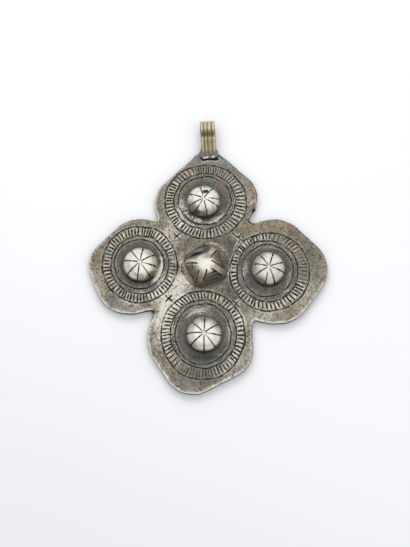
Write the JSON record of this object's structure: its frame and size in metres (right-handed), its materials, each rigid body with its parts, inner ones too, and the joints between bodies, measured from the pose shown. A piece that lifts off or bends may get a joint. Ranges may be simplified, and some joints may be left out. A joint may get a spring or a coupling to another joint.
{
  "type": "four-lobed bossed silver pendant",
  "caption": "Flat four-lobed metal pendant with engraved ring medallions, domed bosses on the lobes, a faceted boss at the centre and a reeded bail for a cord.",
  "frame": {"origin": "on the flat back face, on the axis of the centre boss", "axes": "+Z out of the front, +Y towards the bail, +X to the right as the front is seen"},
  "size_m": [0.0657, 0.0768, 0.0074],
  "materials": {
    "aged_silver": "hand-worked silver, dull, with dark patina in the engraving and on the mounds",
    "polished_silver": "silver rubbed bright by wear, dark lines engraved"
  },
  "bodies": {
    "root": {"plate_with_bail": "aged_silver", "boss_top": "polished_silver", "boss_right": "polished_silver", "boss_bottom": "polished_silver", "boss_left": "polished_silver", "boss_centre": "polished_silver"}
  },
  "joints": []
}
